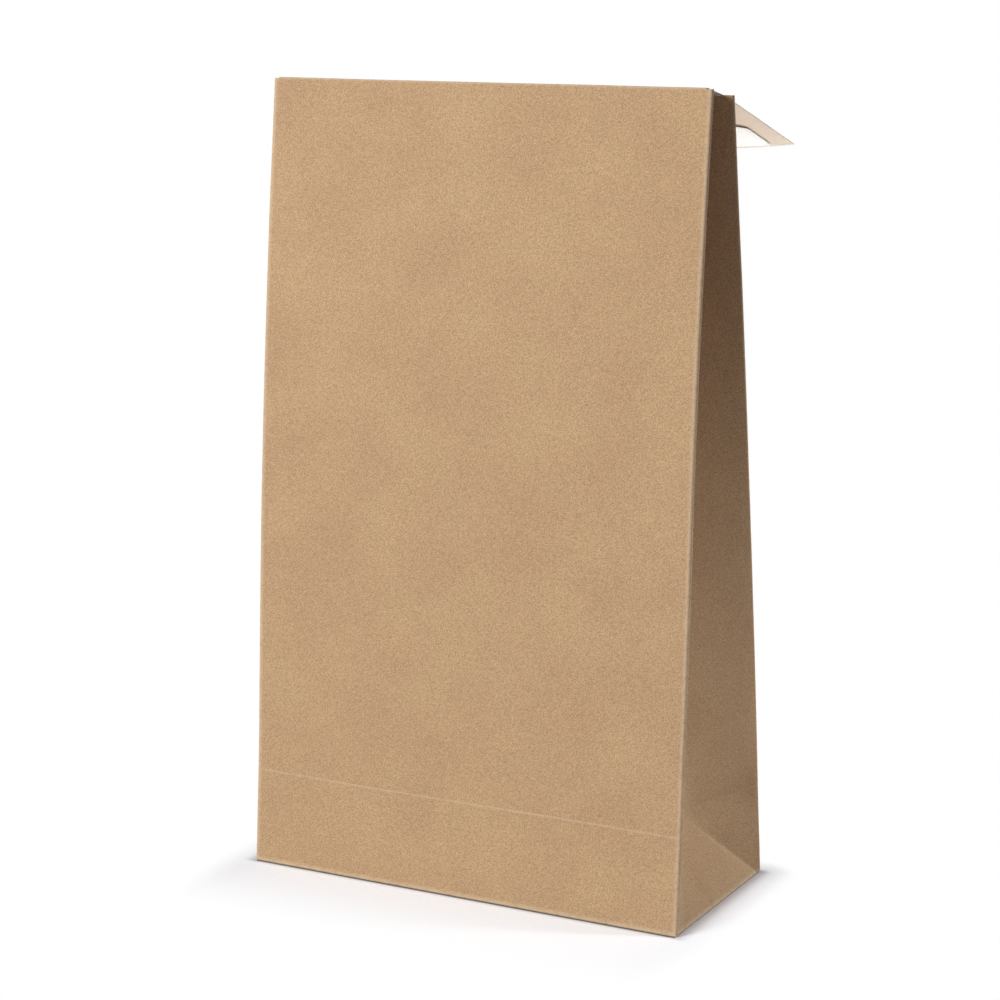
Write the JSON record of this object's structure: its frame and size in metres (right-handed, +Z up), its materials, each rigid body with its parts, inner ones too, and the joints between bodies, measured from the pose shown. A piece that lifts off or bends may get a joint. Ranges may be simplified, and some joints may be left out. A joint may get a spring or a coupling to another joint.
{
  "type": "kraft paper gusseted block-bottom bag with a peel-and-seal flap",
  "caption": "Plain brown kraft paper lunch bag that stands on a folded block bottom, with tucked side gussets and a peel-and-seal flap folded back over the mouth.",
  "frame": {"origin": "middle of the base, on the plane that the bag stands on", "axes": "+Z up through the mouth, -Y out of the front panel, +X to the right across the front panel"},
  "size_m": [0.18, 0.1107, 0.3059],
  "materials": {
    "kraft_paper": "unbleached machine-finished kraft, matt with a faint sheen",
    "adhesive": "clear pressure-sensitive adhesive",
    "liner_paper": "white silicone-coated release paper, satin"
  },
  "bodies": {
    "root": {"paper_bag": "kraft_paper", "adhesive_strip": "adhesive", "release_liner": "liner_paper"}
  },
  "joints": []
}
